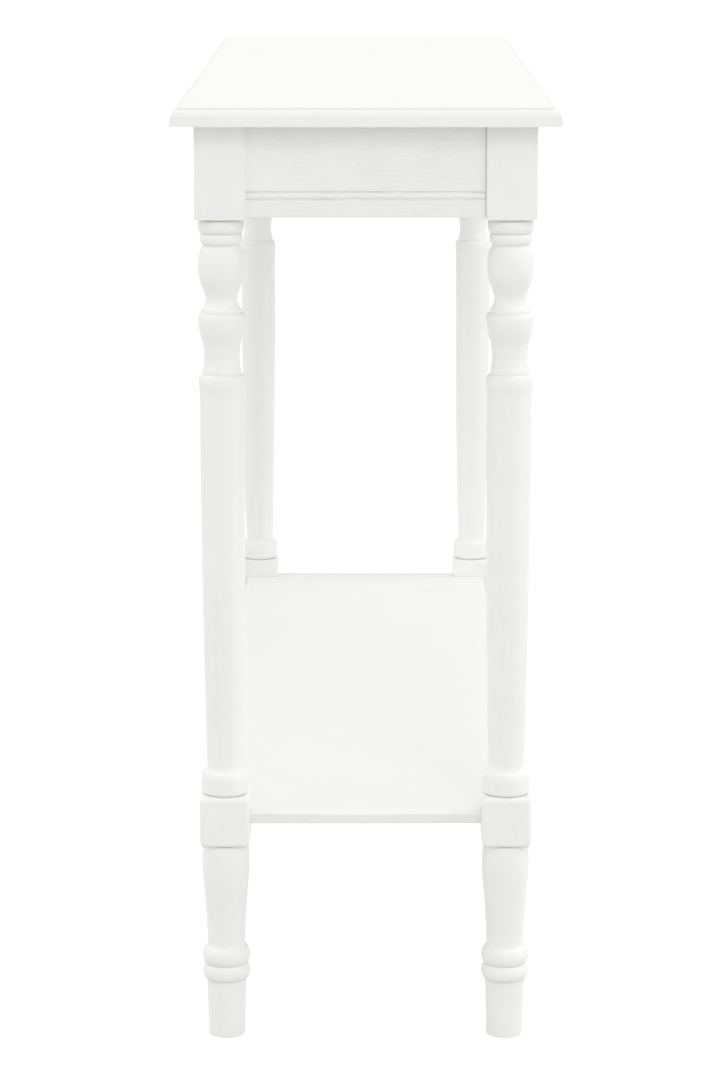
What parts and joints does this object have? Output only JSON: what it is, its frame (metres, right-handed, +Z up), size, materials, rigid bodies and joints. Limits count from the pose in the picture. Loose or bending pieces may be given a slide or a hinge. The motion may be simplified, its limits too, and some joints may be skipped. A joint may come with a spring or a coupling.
{
  "type": "console table",
  "caption": "Long narrow console table with a moulded top, beaded aprons, turned legs with square blocks and a low shelf, painted white.",
  "frame": {"origin": "on the floor under the middle of the table", "axes": "+X along the table's length, +Y from its front long side to its back, +Z up"},
  "size_m": [1.08, 0.32, 0.8],
  "materials": {
    "painted_wood": "satin white paint over fine-grained wood",
    "bare_wood": "planed and unpainted",
    "zinc_steel": "bright zinc plate"
  },
  "bodies": {
    "root": {"top_panel": "painted_wood", "long_apron_front": "painted_wood", "long_apron_back": "painted_wood", "end_apron_left": "painted_wood", "end_apron_right": "painted_wood", "shelf": "painted_wood", "post_back_right": "painted_wood", "post_back_left": "painted_wood", "post_front_left": "painted_wood", "post_front_right": "painted_wood", "column_back_right": "painted_wood", "column_back_left": "painted_wood", "column_front_left": "painted_wood", "column_front_right": "painted_wood", "shelf_block_back_right": "painted_wood", "shelf_block_back_left": "painted_wood", "shelf_block_front_left": "painted_wood", "shelf_block_front_right": "painted_wood", "foot_back_right": "painted_wood", "foot_back_left": "painted_wood", "foot_front_left": "painted_wood", "foot_front_right": "painted_wood", "corner_block_back_right": "bare_wood", "corner_block_back_left": "bare_wood", "corner_block_front_left": "bare_wood", "corner_block_front_right": "bare_wood", "upper_stud_back_right": "zinc_steel", "upper_stud_back_left": "zinc_steel", "upper_stud_front_left": "zinc_steel", "upper_stud_front_right": "zinc_steel", "lower_stud_back_right": "zinc_steel", "lower_stud_back_left": "zinc_steel", "lower_stud_front_left": "zinc_steel", "lower_stud_front_right": "zinc_steel", "hanger_bolt_back_right": "zinc_steel", "hanger_bolt_back_left": "zinc_steel", "hanger_bolt_front_left": "zinc_steel", "hanger_bolt_front_right": "zinc_steel", "washer_back_right": "zinc_steel", "washer_back_left": "zinc_steel", "washer_front_left": "zinc_steel", "washer_front_right": "zinc_steel", "hex_nut_back_right": "zinc_steel", "hex_nut_back_left": "zinc_steel", "hex_nut_front_left": "zinc_steel", "hex_nut_front_right": "zinc_steel", "apron_screw_a_back_right": "zinc_steel", "apron_screw_a_back_left": "zinc_steel", "apron_screw_a_front_left": "zinc_steel", "apron_screw_a_front_right": "zinc_steel", "apron_screw_b_back_right": "zinc_steel", "apron_screw_b_back_left": "zinc_steel", "apron_screw_b_front_left": "zinc_steel", "apron_screw_b_front_right": "zinc_steel", "top_screw_back_right": "zinc_steel", "top_screw_back_left": "zinc_steel", "top_screw_front_left": "zinc_steel", "top_screw_front_right": "zinc_steel"}
  },
  "joints": []
}
